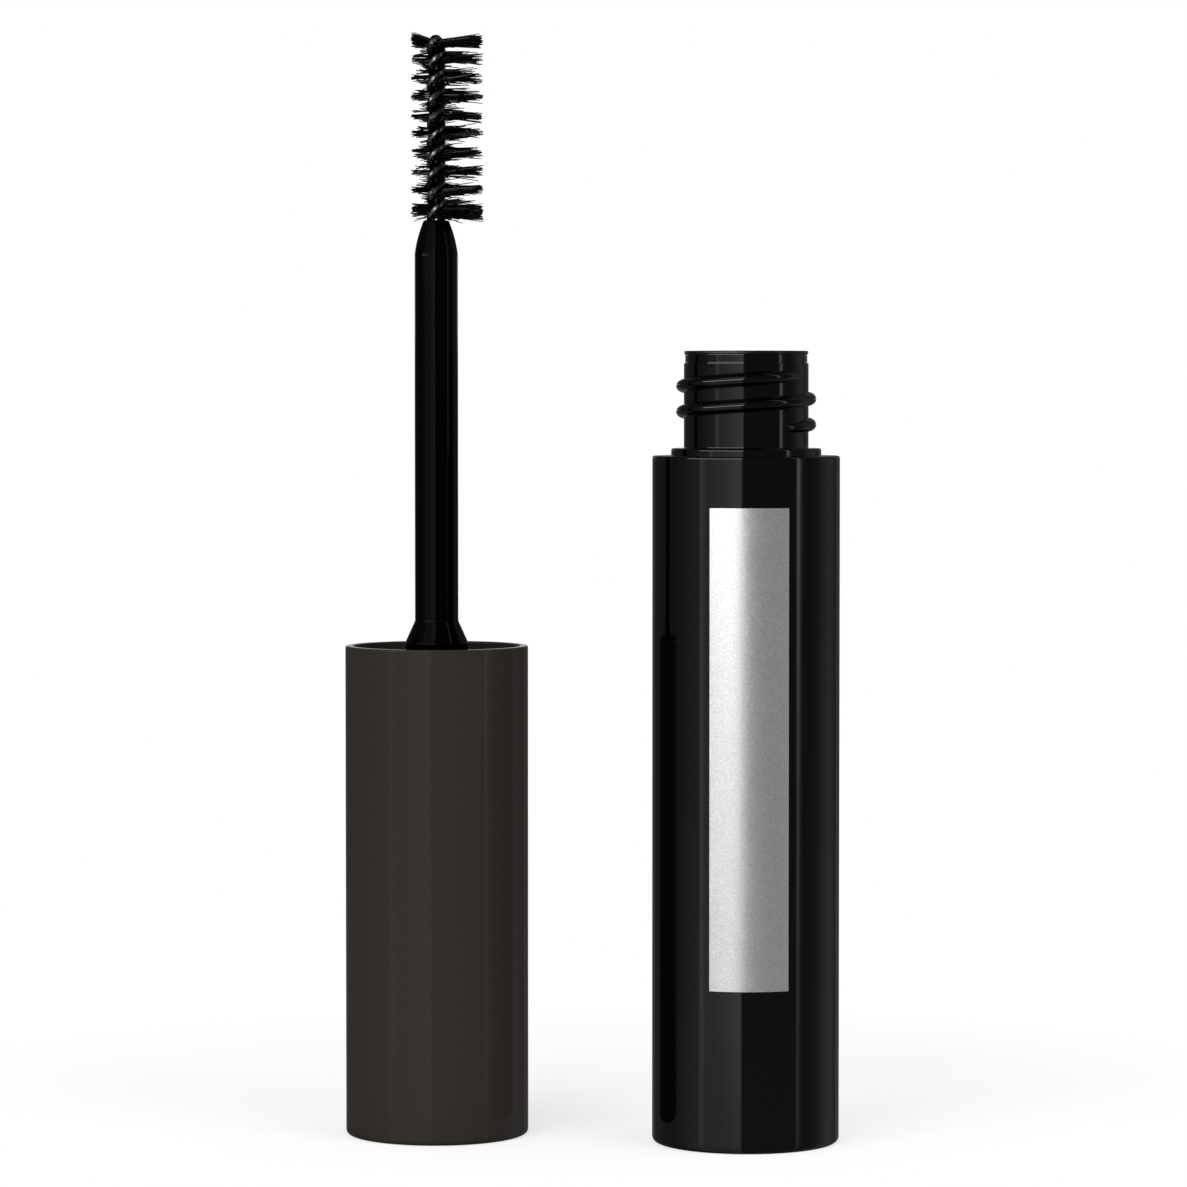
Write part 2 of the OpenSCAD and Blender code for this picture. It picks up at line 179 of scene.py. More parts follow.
def shown_rays(tree: Tree) -> Socket:
    """Tells the rays that show a background from the rays that light the set.

    Args:
        tree: the node tree.

    Returns:
        1 for camera, glossy and transmission rays, and 0 for all others.
    """
    rays = add_node(tree, "ShaderNodeLightPath").outputs
    shown = rays["Is Camera Ray"]
    for kind in ("Is Glossy Ray", "Is Transmission Ray"):
        either = add_node(tree, "ShaderNodeMath", {0: shown, 1: rays[kind]}, operation="MAXIMUM")
        shown = either.outputs[0]
    return shown


# ---------------------------------------------------------------- finishes


@dataclass(frozen=True)
class Grain:
    """A noise pattern on Object coordinates: width of a grain in millimetres, and octaves."""

    size_mm: float
    detail: float = 2.0

    def inputs(self, place: Socket) -> dict[str, Any]:
        """Inputs of the noise texture, from the Object coordinates."""
        return {"Vector": place, "Scale": 1 / (self.size_mm * MM), "Detail": self.detail}


@dataclass(frozen=True)
class Relief:
    """Fine unevenness of a surface: its grain, its height in millimetres and its strength."""

    grain: Grain
    height_mm: float
    strength: float = 1.0


# Slow waves that a moulding keeps where its melt shrank
MOULD_WAVE = Relief(Grain(2.5), 0.0004)
# Texture of an etched mould. It is some 0.03 mm fine, and drawn coarser to show in the render
MOULD_GRAIN = Relief(Grain(0.12, 3.0), 0.0008)


@dataclass(frozen=True)
class Finish:
    """A material and how its surface was made: colours, gloss and fine reliefs.

    The colour runs into the fleck's where there is one. The roughness varies round its value
    between the gloss range's two shares of it.
    """

    name: str
    colour: str
    roughness: float
    ior: float = 1.5
    specular: float = 0.5
    metallic: float = 0.0
    reliefs: tuple[Relief, ...] = (MOULD_WAVE,)
    gloss: Grain = Grain(1.25)
    gloss_range: tuple[float, float] = (0.85, 1.15)
    fleck: str = ""
    fleck_grain: Grain = Grain(0.1, 3.0)

    def material(self) -> bpy.types.Material:
        """Builds the node material.

        Returns:
            The new material.
        """
        material, tree = new_material(self.name)
        place = add_node(tree, "ShaderNodeTexCoord").outputs["Object"]
        colour: Any = srgb(self.colour)
        if self.fleck:
            spots = add_node(tree, "ShaderNodeTexNoise", self.fleck_grain.inputs(place))
            spread = {"Value": spots.outputs["Fac"], 1: NOISE_LOW, 2: NOISE_HIGH}
            share = add_node(tree, "ShaderNodeMapRange", spread)
            tint = {0: share.outputs["Result"], 6: colour, 7: srgb(self.fleck)}
            colour = add_node(tree, "ShaderNodeMix", tint, data_type="RGBA").outputs[2]
        cloud = add_node(tree, "ShaderNodeTexNoise", self.gloss.inputs(place))
        low, high = (self.roughness * share for share in self.gloss_range)
        spread = {"Value": cloud.outputs["Fac"], 1: NOISE_LOW, 2: NOISE_HIGH, 3: low, 4: high}
        roughness = add_node(tree, "ShaderNodeMapRange", spread)
        bump: dict[str, Any] = {}
        for relief in self.reliefs:
            height = add_node(tree, "ShaderNodeTexNoise", relief.grain.inputs(place))
            bump["Strength"] = relief.strength
            bump["Distance"] = relief.height_mm * MM
            bump["Height"] = height.outputs["Fac"]
            bump["Normal"] = add_node(tree, "ShaderNodeBump", bump).outputs["Normal"]
        shader = add_node(
            tree,
            "ShaderNodeBsdfPrincipled",
            {
                "Base Color": colour,
                "Metallic": self.metallic,
                "Roughness": roughness.outputs["Result"],
                "IOR": self.ior,
                "Specular IOR Level": self.specular,
                "Normal": bump["Normal"],
            },
        )
        add_node(tree, "ShaderNodeOutputMaterial", {"Surface": shader.outputs["BSDF"]})
        return material


# ABS from a mirror-polished mould: deep even black that mirrors the room sharply
GLOSS_ABS = Finish("moulded_gloss_black_abs", "#020202", 0.03)
# PETG from a polished mould: as black as the sleeve, its mirror images a touch softer
VIAL_PETG = Finish("moulded_black_petg_vial", "#020202", 0.05, ior=1.57, specular=0.4)
# Soft LDPE: waxy black whose highlights spread, with a fine mould grain
WIPER_LDPE = Finish(
    "moulded_black_ldpe_wiper", "#0B0B0B", 0.3, ior=1.51, reliefs=(MOULD_WAVE, MOULD_GRAIN)
)
# Polypropylene from a plain mould: dull black that greys where light falls on it
LINER_PP = Finish(
    "moulded_black_polypropylene_liner",
    "#262626",
    0.32,
    ior=1.49,
    reliefs=(MOULD_WAVE, MOULD_GRAIN),
)
# The overcap's own polypropylene, bare in the bore, where no lacquer reaches
SHELL_PP = replace(LINER_PP, name="moulded_black_polypropylene_shell")
# Acetal: dense black with narrow mirror lines, much dimmer than on the bottle
STEM_POM = Finish("moulded_black_acetal_stem", "#010101", 0.07, ior=1.48, specular=0.115)
# Closed-cell foam cut from sheet: soft grey without gloss, pitted by cells of 0.15 mm
SEAL_FOAM = Finish(
    "die_cut_grey_foam_seal",
    "#2A2A2A",
    0.8,
    ior=1.49,
    specular=0.3,
    reliefs=(MOULD_WAVE, Relief(Grain(0.15, 3.0), 0.012)),
)
# Extruded nylon fibre: black with a soft grey line of light along each fibre
BRISTLE_NYLON = Finish(
    "extruded_black_nylon_bristle",
    "#020202",
    0.28,
    ior=1.53,
    reliefs=(Relief(Grain(0.4), 0.0004),),
    gloss=Grain(0.2),
)
# Satin lacquer sprayed on the shell: warm brown-grey with fine flecks under a thin low sheen.
# Its pigment is some 0.03 mm fine, and drawn coarser to show in the render
CAP_LACQUER = Finish(
    "sprayed_taupe_satin_lacquer",
    "#302C29",
    0.06,
    specular=0.12,
    reliefs=(Relief(Grain(0.5), 0.0006),),
    gloss=Grain(4.0),
    gloss_range=(0.9, 1.1),
    fleck="#34302D",
    fleck_grain=Grain(0.09, 1.0),
)
# Hot-stamped aluminium foil: silver that runs from white to mid grey across the curve, with fine
# sparkle. The grain of its film is some 0.04 mm fine, and drawn coarser to show in the render
SILVER_FOIL = Finish(
    "hot_stamped_silver_foil",
    "#D6D6D5",
    0.3,
    metallic=0.82,
    reliefs=(Relief(Grain(0.1, 3.0), 0.0015),),
    gloss=Grain(1.5),
    gloss_range=(0.92, 1.08),
    fleck="#FAFAF9",
)
# Drawn stainless steel: dark metal between the fibres, with bright narrow glints from the fine
# lines that the drawing die leaves
STEEL_WIRE = Finish(
    "drawn_stainless_steel_wire",
    "#6A6A6C",
    0.22,
    metallic=1.0,
    reliefs=(Relief(Grain(0.05), 0.002, strength=0.4),),
    gloss=Grain(0.05),
    gloss_range=(0.8, 1.3),
)


# ---------------------------------------------------------------- mesh tools


@dataclass(frozen=True)
class Corner:
    """A corner of a turned outline: radius, height and edge rounding, in millimetres."""

    r: float
    z: float
    round: float = 0.0


def sweep(bm: BMesh, angle: float, steps: int, rise: float = 0.0) -> None:
    """Spins a whole mesh round the Z axis. A full turn joins up.

    Args:
        bm: the outline or the faces to spin.
        angle: how far it turns, in radians.
        steps: the number of steps.
        rise: how far each step climbs, in metres.
    """
    bmesh.ops.spin(
        bm,
        geom=bm.verts[:] + bm.edges[:] + bm.faces[:],
        cent=ORIGIN,
        axis=(0, 0, 1),
        dvec=(0, 0, rise),
        angle=angle,
        steps=steps,
        use_merge=angle == math.tau,
    )


def rotate(bm: BMesh, angle: float, axis: str) -> None:
    """Turns a whole mesh about an axis through the origin.

    Args:
        bm: the mesh.
        angle: how far, in radians.
        axis: X, Y or Z.
    """
    matrix = Matrix.Rotation(angle, 3, axis)
    bmesh.ops.rotate(bm, verts=bm.verts[:], cent=ORIGIN, matrix=matrix)


def close_ends(bm: BMesh) -> None:
    """Fills the open ends of a swept shape and turns its faces outwards."""
    bmesh.ops.holes_fill(bm, edges=[e for e in bm.edges if e.is_boundary], sides=0)
    bmesh.ops.recalc_face_normals(bm, faces=bm.faces[:])


def hold_walls(bm: BMesh) -> None:
    """Adds a held corner close to both ends of each straight wall, so that it shades flat.

    Args:
        bm: an outline of edges before it is turned.
    """
    for edge in bm.edges[:]:
        start, end = edge.verts
        along = end.co - start.co
        if along.length < WALL_FROM:
            continue
        step = along.normalized() * WALL_HOLD
        stops = [start, bm.verts.new(start.co + step), bm.verts.new(end.co - step), end]
        bm.edges.remove(edge)
        for pair in zip(stops, stops[1:]):
            bm.edges.new(pair)


def lathe(corners: Sequence[Corner], closed: bool) -> BMesh:
    """Turns an outline round the Z axis into a closed skin.

    Args:
        corners: the outline. An open one starts and ends on the axis.
        closed: whether the outline joins up, as for a ring.

    Returns:
        The turned mesh in metres.
    """
    bm = bmesh.new()
    verts = [bm.verts.new((c.r * MM, 0.0, c.z * MM)) for c in corners]
    pairs = list(zip(verts, verts[1:]))
    if closed:
        pairs.append((verts[-1], verts[0]))
    for pair in pairs:
        bm.edges.new(pair)
    for corner, vert in zip(corners, verts):
        if corner.round:
            bmesh.ops.bevel(
                bm,
                geom=[vert],
                offset=corner.round * MM,
                offset_type="OFFSET",
                affect="VERTICES",
                segments=ROUND_SEGMENTS,
                profile=0.5,
                material=-1,
            )
    hold_walls(bm)
    sweep(bm, math.tau, SPIN_STEPS)
    bmesh.ops.remove_doubles(bm, verts=bm.verts[:], dist=WELD)
    bmesh.ops.recalc_face_normals(bm, faces=bm.faces[:])
    return bm


def mesh_from(bm: BMesh, place: Vector) -> bpy.types.Mesh:
    """Moves a bmesh to its place and turns it into a mesh.

    Args:
        bm: the bmesh, which is freed.
        place: how far it moves, in metres.

    Returns:
        The new mesh.
    """
    bmesh.ops.translate(bm, verts=bm.verts[:], vec=place)
    mesh = bpy.data.meshes.new("made")
    bm.to_mesh(mesh)
    bm.free()
    return mesh


@dataclass(frozen=True)
class ThreadRidge:
    """A right-handed thread ridge that stands out from a wall, or into a bore.

    Lengths are in millimetres and angles in degrees. A bore's ridge has a negative depth. The
    ridge fades in and out over the fade's angle, from the end's shares of its height and width.
    """

    wall_r: float
    depth: float
    root_w: float
    crest_w: float
    start_z: float
    start_angle: float
    pitch: float
    turns: float
    sink: float = 0.2
    fillet: float = 0.07
    fade: float = 60.0
    end_height: float = 0.03
    end_width: float = 0.4
    nose_share: float = 0.3
    nose_steps: int = 7
    steps_a_turn: int = 120

    def rise(self, turned: float) -> float:
        """Share of the full height at an angle from the start, in degrees."""
        share = max(0.0, min(1.0, min(turned, 360 * self.turns - turned) / self.fade))
        return self.end_height + (1 - self.end_height) * math.sin(math.pi / 2 * share)

    def half_profile(self) -> list[tuple[float, float]]:
        """Upper half of the section, from inside the wall out to the nose.

        Returns:
            Heights above the ridge's foot, each with its half width, in millimetres.
        """
        wide = (self.root_w + self.crest_w) * self.nose_share
        nose = []
        for i in range(1, self.nose_steps):
            angle = math.pi / 2 * i / self.nose_steps
            nose.append((self.sink + abs(self.depth) * math.sin(angle), wide * math.cos(angle)))
        foot = [
            (0.0, wide + 2 * self.fillet),
            (self.sink - self.fillet / 2, wide + self.fillet),
            (self.sink + self.fillet / 3, wide + self.fillet / 4),
        ]
        return foot + nose

    def add_to(self, bm: BMesh) -> None:
        """Adds the ridge to a mesh.

        Args:
            bm: the turned body that carries the thread.
        """
        way = 1 if self.depth > 0 else -1
        foot = self.wall_r - way * self.sink
        half = self.half_profile()
        top = [(self.sink + abs(self.depth), 0.0)]
        outline = half + top + [(out, -wide) for out, wide in reversed(half)]
        ridge = bmesh.new()
        verts = []
        for out, wide in outline:
            verts.append(ridge.verts.new(((foot + way * out) * MM, 0.0, wide * MM)))
        for vert, following in zip(verts, verts[1:] + verts[:1]):
            ridge.edges.new((vert, following))
        ring = len(ridge.verts)
        steps = round(self.steps_a_turn * self.turns)
        step_angle = 360 * self.turns / steps
        rise_a_step = self.pitch * self.turns / steps * MM
        sweep(ridge, math.radians(360 * self.turns), steps, rise_a_step)
        ridge.verts.ensure_lookup_table()
        for index, vert in enumerate(ridge.verts):
            turned = index // ring * step_angle
            rise = self.rise(turned)
            now = math.hypot(vert.co.x, vert.co.y)
            wanted = foot * MM + (now - foot * MM) * rise
            middle = self.pitch * turned / 360 * MM
            vert.co.x *= wanted / now
            vert.co.y *= wanted / now
            width = self.end_width + (1 - self.end_width) * rise
            vert.co.z = middle + (vert.co.z - middle) * width
        close_ends(ridge)
        rotate(ridge, math.radians(self.start_angle), "Z")
        made = mesh_from(ridge, Vector((0, 0, self.start_z * MM)))
        bm.from_mesh(made)
        bpy.data.meshes.remove(made)


def finish_piece(
    name: str, mesh: bpy.types.Mesh, finish: Finish, body: Body, node: str
) -> bpy.types.Object:
    """Dresses a mesh and lets it stand for its CAD node.

    Args:
        name: the piece's name.
        mesh: its mesh in the row frame, in metres.
        finish: the finish that makes its material.
        body: the CAD body it rides on.
        node: the CAD node it stands for, which it hides.

    Returns:
        The finished object.
    """
    mesh.name = name
    mesh.polygons.foreach_set("use_smooth", [True] * len(mesh.polygons))
    mesh.set_sharp_from_angle(angle=SHARP_ANGLE)
    mesh.materials.clear()
    mesh.materials.append(finish.material())
    piece = new_object(name, mesh)
    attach(piece, body.value)
    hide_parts(node)
    log.info("%s: %d faces, rides on %s", name, len(mesh.polygons), body.value)
    return piece


# ---------------------------------------------------------------- bottle


@dataclass
class Bottle:
    """Bottle: outer sleeve, vial with its threaded neck, wiper and foil strip.

    Sizes are in millimetres, and the foil's turn from the front is in degrees.
    """

    radius: float = 7.0
    height: float = 51.4
    wall: float = 1.35
    floor: float = 1.2
    foot_round: float = 0.4
    shoulder_round: float = 0.15
    dish_depth: float = 0.2
    dish_radius: float = 5.1
    dish_edge: float = 5.4
    vial_gap: float = 0.05
    vial_wall: float = 0.9
    vial_floor: float = 1.0
    collar_height: float = 0.55
    neck_radius: float = 4.65
    neck_height: float = 7.55
    neck_wall: float = 1.0
    land_inset: float = 0.1
    land_height: float = 0.65
    flange_height: float = 0.25
    mouth_chamfer: float = 0.23
    wiper_gap: float = 0.03
    wiper_wall: float = 0.7
    wiper_depth: float = 12.4
    wiper_cone: float = 2.8
    lip_radius: float = 1.55
    lip_wall: float = 0.35
    thread: ThreadRidge = field(
        default_factory=lambda: ThreadRidge(
            wall_r=4.65,
            depth=0.58,
            root_w=1.2,
            crest_w=0.4,
            start_z=53.38,
            start_angle=-65,
            pitch=1.915,
            turns=2.12,
        )
    )
    foil_low: float = 12.05
    foil_height: float = 35.58
    foil_width: float = 5.98
    foil_turn: float = 0.55
    foil_thickness: float = 0.04
    foil_rows: int = 40
    foil_columns: int = 32

    def sleeve(self) -> None:
        """Builds the glossy outer sleeve, with a shallow dish under its foot."""
        bore = self.radius - self.wall
        corners = [
            Corner(0, self.dish_depth),
            Corner(self.dish_radius, self.dish_depth, 0.1),
            Corner(self.dish_edge, 0, 0.08),
            Corner(self.radius, 0, self.foot_round),
            Corner(self.radius, self.height, self.shoulder_round),
            Corner(bore, self.height, 0.06),
            Corner(bore, self.floor, 0.3),
            Corner(0, self.floor),
        ]
        mesh = mesh_from(lathe(corners, closed=False), Vector())
        finish_piece("sleeve_shell", mesh, GLOSS_ABS, Body.BOTTLE, "bottle_sleeve")

    def vial(self) -> None:
        """Builds the vial that shows as collar and threaded neck."""
        outer = self.radius - self.wall - self.vial_gap
        inner = outer - self.vial_wall
        bore = self.neck_radius - self.neck_wall
        low = self.floor + self.vial_gap
        top = self.height + self.neck_height
        land = top - self.land_height
        root = self.height - self.vial_wall
        corners = [
            Corner(0, low),
            Corner(outer, low, 0.6),
            Corner(outer, self.height + self.collar_height, 0.13),
            Corner(self.neck_radius, self.height + self.collar_height, 0.08),
            Corner(self.neck_radius, land, 0.03),
            Corner(self.neck_radius - self.land_inset, land, 0.03),
            Corner(self.neck_radius - self.land_inset, top, 0.03),
            Corner(bore, top, 0.05),
            Corner(bore, root, 0.2),
            Corner(inner, root - (inner - bore), 0.2),
            Corner(inner, low + self.vial_floor, 0.6),
            Corner(0, low + self.vial_floor),
        ]
        bm = lathe(corners, closed=False)
        self.thread.add_to(bm)
        mesh = mesh_from(bm, Vector())
        finish_piece("vial_and_thread", mesh, VIAL_PETG, Body.BOTTLE, "vial")

    def wiper(self) -> None:
        """Builds the wiper: flange on the neck, tube, cone and wiping lip."""
        outer = self.neck_radius - self.neck_wall - self.wiper_gap
        bore = outer - self.wiper_wall
        top = self.height + self.neck_height
        rim = top + self.flange_height
        flange = self.neck_radius - self.land_inset / 4
        low = top - self.wiper_depth
        cone = low + self.wiper_cone
        corners = [
            Corner(self.lip_radius, low, 0.03),
            Corner(self.lip_radius + self.lip_wall, low, 0.05),
            Corner(outer, cone, 0.2),
            Corner(outer, top, 0.04),
            Corner(flange, top, 0.04),
            Corner(flange, rim, 0.08),
            Corner(bore + self.mouth_chamfer, rim, 0.12),
            Corner(bore, rim - self.mouth_chamfer, 0.12),
            Corner(bore, cone, 0.3),
            Corner(self.lip_radius, low + self.lip_wall, 0.1),
        ]
        mesh = mesh_from(lathe(corners, closed=True), Vector())
        finish_piece("wiper_stopper", mesh, WIPER_LDPE, Body.BOTTLE, "wiper")

    def foil(self) -> None:
        """Builds the foil strip: a thin curved plate on the front."""
        span = self.foil_width / self.radius
        size = (self.foil_thickness * MM, self.foil_height * MM, 1)
        bm = bmesh.new()
        bmesh.ops.create_grid(bm, x_segments=1, y_segments=self.foil_rows, size=0.5)
        bmesh.ops.scale(bm, verts=bm.verts[:], vec=size)
        rotate(bm, math.pi / 2, "X")
        out = (self.radius + self.foil_thickness / 2) * MM
        middle = (self.foil_low + self.foil_height / 2) * MM
        bmesh.ops.translate(bm, verts=bm.verts[:], vec=(out, 0, middle))
        rotate(bm, math.radians(self.foil_turn - 90) - span / 2, "Z")
        sweep(bm, span, self.foil_columns)
        bmesh.ops.recalc_face_normals(bm, faces=bm.faces[:])
        mesh = mesh_from(bm, Vector())
        finish_piece("foil_strip", mesh, SILVER_FOIL, Body.BOTTLE, "foil_panel")

    def build(self) -> None:
        """Builds every piece of the bottle."""
        self.sleeve()
        self.vial()
        self.wiper()
        self.foil()


# ---------------------------------------------------------------- cap


@dataclass
class CapGroup:
    """What stands on the cap's axis: its place on the table and the height of its web."""

    x: float = -23.25
    y: float = 3.9
    web_top: float = 28.4

    @property
    def place(self) -> Vector:
        """Foot of the axis on the table, in metres."""
        return Vector((self.x * MM, self.y * MM, 0.0))


@dataclass
class Cap(CapGroup):
    """Cap: lacquered overcap, threaded liner and sealing washer, upside down, in millimetres."""

    radius: float = 6.9
    height: float = 37.0
    wall: float = 0.62
    lacquer_edge: float = 0.02
    end: float = 0.9
    end_round: float = 0.35
    rim_round: float = 0.12
    dish_depth: float = 0.15
    dish_radius: float = 5.3
    dish_edge: float = 5.55
    liner_gap: float = 0.03
    liner_bore: float = 5.43
    liner_foot: float = 0.95
    mouth: float = 36.2
    web: float = 1.2
    socket_radius: float = 2.83
    socket_wall: float = 1.2
    socket_floor: float = 1.0
    socket_low: float = 21.85
    washer_low: float = 28.45
    washer_height: float = 0.8
    washer_radius: float = 4.79
    washer_bore: float = 2.45
    thread: ThreadRidge = field(
        default_factory=lambda: ThreadRidge(
            wall_r=5.43,
            depth=-0.58,
            root_w=0.915,
            crest_w=0.515,
            start_z=32.2475,
            start_angle=65,
            pitch=1.915,
            turns=1.5,
        )
    )

    def overcap(self) -> None:
        """Builds the lacquered shell."""
        bore = self.radius - self.wall
        corners = [
            Corner(0, self.dish_depth),
            Corner(self.dish_radius, self.dish_depth, 0.08),
            Corner(self.dish_edge, 0, 0.06),
            Corner(self.radius, 0, self.end_round),
            Corner(self.radius, self.height, self.rim_round),
            Corner(bore, self.height, self.rim_round),
            Corner(bore, self.end, 0.2),
            Corner(0, self.end),
        ]
        bm = lathe(corners, closed=False)
        for face in bm.faces:
            middle = face.calc_center_median()
            inside = math.hypot(middle.x, middle.y) < (bore + self.lacquer_edge) * MM
            face.material_index = int(inside and middle.z > self.end / 2 * MM)
        mesh = mesh_from(bm, self.place)
        piece = finish_piece("overcap_shell", mesh, CAP_LACQUER, Body.WAND_CAP, "overcap")
        # The lacquer is sprayed on the outside only, so the bore is bare plastic
        piece.data.materials.append(SHELL_PP.material())

    def liner(self) -> None:
        """Builds the threaded liner with its web and the stem's socket."""
        outer = self.radius - self.wall - self.liner_gap
        boss = self.socket_radius + self.socket_wall
        corners = [
            Corner(self.liner_bore, self.liner_foot),
            Corner(outer, self.liner_foot, 0.1),
            Corner(outer, self.mouth, 0.1),
            Corner(self.liner_bore, self.mouth, 0.15),
            Corner(self.liner_bore, self.web_top, 0.15),
            Corner(self.socket_radius, self.web_top, 0.1),
            Corner(self.socket_radius, self.socket_low, 0.1),
            Corner(0, self.socket_low),
            Corner(0, self.socket_low - self.socket_floor),
            Corner(boss, self.socket_low - self.socket_floor, 0.2),
            Corner(boss, self.web_top - self.web, 0.2),
            Corner(self.liner_bore, self.web_top - self.web, 0.15),
        ]
        bm = lathe(corners, closed=True)
        self.thread.add_to(bm)
        mesh = mesh_from(bm, self.place)
        finish_piece("threaded_liner", mesh, LINER_PP, Body.WAND_CAP, "inner_cap")

    def washer(self) -> None:
        """Builds the soft sealing washer."""
        top = self.washer_low + self.washer_height
        corners = [
            Corner(self.washer_bore, self.washer_low, 0.08),
            Corner(self.washer_radius, self.washer_low, 0.08),
            Corner(self.washer_radius, top, 0.08),
            Corner(self.washer_bore, top, 0.08),
        ]
        mesh = mesh_from(lathe(corners, closed=True), self.place)
        finish_piece("seal_ring", mesh, SEAL_FOAM, Body.WASHER, "sealing_washer")

    def build(self) -> None:
        """Builds every piece of the cap."""
        self.overcap()
        self.liner()
        self.washer()


# ---------------------------------------------------------------- wand


@dataclass(frozen=True)
class EndTuft:
    """Extra fibres where the brush ends: number, and ranges of height, turn and lean."""

    fibres: int
    z: tuple[float, float]
    turn: tuple[float, float]
    lean: tuple[float, float]


@dataclass
class Wand(CapGroup):
    """Wand: stem, twisted wire and the brush's bristles, fixed in the cap.

    Sizes are in millimetres. The brush's leans, turns and splays are in degrees.
    """

    radius: float = 1.635
    plug_radius: float = 2.8
    plug_low: float = 21.9
    collar_radius: float = 2.38
    collar_top: float = 37.24
    cone: float = 1.64
    top: float = 69.03
    tip_radius: float = 0.95
    tip: float = 2.65
    tip_kink: float = 0.33
    tip_hold: float = 0.004
    tip_curve: float = 1.9
    tip_steps: int = 14
    wire_radius: float = 0.32
    strand_at: float = 0.4
    wire_low: float = 62.53
    wire_gap: float = 0.04
    wire_rounding: int = 3
    wire_steps: int = 28
    fold_steps: int = 12
    hole_gap: float = 0.05
    pitch: float = 2.816
    wire_high: float = 82.27
    band_low: float = 69.48
    hair_low: float = 69.2
    hair_high: float = 82.62
    brush_radius: float = 2.75
    brush_offset: float = 0.83
    first_angle: float = 122.0
    fibres_a_row: int = 1500
    fibre_radius: float = 0.036
    fibre_sides: int = 5
    fibre_root: float = 0.12
    root_aside: float = 0.12
    trim_spread: float = 0.17
    broken_share: float = 0.07
    broken_by: tuple[float, float] = (0.1, 0.6)
    tuft_fibres: tuple[int, int] = (5, 20)
    tuft_gap: tuple[int, int] = (0, 4)
    tuft_lean: float = 3.0
    tuft_turn: float = 3.0
    fibre_lean: float = 2.2
    splay_long: float = 12.0
    splay_short: float = 4.0
    fill_short: float = 0.48
    lean_short: float = 3.5
    seed: int = 7

    # How far a unit fibre's end bends up and aside, in millimetres
    BENDS = ((0.08, 0.03), (-0.1, 0.05), (0.02, -0.1), (-0.05, -0.06), (0.15, 0.0), (0.0, 0.1))
    # Its segments: share of the length, and how much thinner each one ends
    SEGMENTS = ((0.4, 1.0), (0.4, 0.97), (0.2, 0.82))
    END_TUFTS = (
        EndTuft(110, (82.05, 82.6), (-32, 24), (-1.5, 5)),
        EndTuft(90, (82.0, 82.55), (150, 210), (0, 22)),
        EndTuft(80, (69.3, 70.2), (-30, 30), (-6, 4)),
        EndTuft(55, (69.4, 70.3), (150, 210), (-12, 4)),
    )

    def stem(self) -> None:
        """Builds the stem: plug, collar, cone, rod and rounded tip with the wire's hole."""
        hole = self.strand_at + self.wire_radius + self.wire_gap
        hole_low = self.wire_low - self.hole_gap
        low = self.top - self.tip
        # A short edge on each side holds the kink, so that it mirrors only a thin line
        ups = [0.0, self.tip_hold / self.tip]
        ups += [i / self.tip_steps for i in range(1, self.tip_steps + 1)]
        tip = [Corner(self.radius, low - self.tip_hold)]
        for up in ups:
            share = self.tip_kink * up + (1 - self.tip_kink) * up**self.tip_curve
            r = self.radius - (self.radius - self.tip_radius) * share
            tip.append(Corner(r, low + self.tip * up))
        tip[-1] = replace(tip[-1], round=0.05)
        corners = [
            Corner(0, self.plug_low),
            Corner(self.plug_radius, self.plug_low, 0.28),
            Corner(self.plug_radius, self.web_top, 0.05),
            Corner(self.collar_radius, self.web_top, 0.05),
            Corner(self.collar_radius, self.collar_top, 0.03),
            Corner(self.radius, self.collar_top + self.cone, 0.04),
            *tip,
            Corner(hole, self.top, 0.05),
            Corner(hole, hole_low),
            Corner(0, hole_low),
        ]
        mesh = mesh_from(lathe(corners, closed=False), self.place)
        finish_piece("wand_rod", mesh, STEM_POM, Body.WAND_CAP, "wand_stem")

    def twist(self, z: float) -> float:
        """Direction of the bristles at a height, in radians."""
        return math.radians(self.first_angle + 360 * (z - self.band_low) / self.pitch)

    def wire_points(self) -> list[Vector]:
        """Middle line of the folded wire: up one strand, round the fold and down the other.

        Returns:
            The line's points round the wand's own axis, in millimetres.
        """
        low = self.wire_low + self.wire_radius
        steps = round((self.wire_high - low) / self.pitch * self.wire_steps)
        up = []
        for i in range(steps + 1):
            z = low + (self.wire_high - low) * i / steps
            angle = self.twist(z) + math.pi / 2
            x, y = self.strand_at * math.cos(angle), self.strand_at * math.sin(angle)
            up.append(Vector((x, y, z)))
        end = self.twist(self.wire_high) + math.pi / 2
        fold = []
        for i in range(1, self.fold_steps):
            t = math.pi * i / self.fold_steps
            flat, z = self.strand_at * math.cos(t), self.wire_high + self.strand_at * math.sin(t)
            fold.append(Vector((flat * math.cos(end), flat * math.sin(end), z)))
        down = [Vector((-p.x, -p.y, p.z)) for p in reversed(up)]
        return up + fold + down

    def wire(self) -> None:
        """Builds the wire as one round bar folded in half and twisted."""
        points = self.wire_points()
        curve = bpy.data.curves.new("wire_line", "CURVE")
        curve.dimensions = "3D"
        curve.bevel_depth = self.wire_radius * MM
        curve.bevel_resolution = self.wire_rounding
        curve.use_fill_caps = True
        spline = curve.splines.new("POLY")
        spline.points.add(len(points) - 1)
        for slot, point in zip(spline.points, points):
            slot.co = (*(point * MM + self.place), 1.0)
        bar = new_object("wire_line", curve)
        bpy.context.view_layer.update()
        evaluated = bar.evaluated_get(bpy.context.evaluated_depsgraph_get())
        mesh = bpy.data.meshes.new_from_object(evaluated)
        bpy.data.objects.remove(bar)
        bpy.data.curves.remove(curve)
        finish_piece("wire_twist", mesh, STEEL_WIRE, Body.WAND_CAP, "twisted_wire")

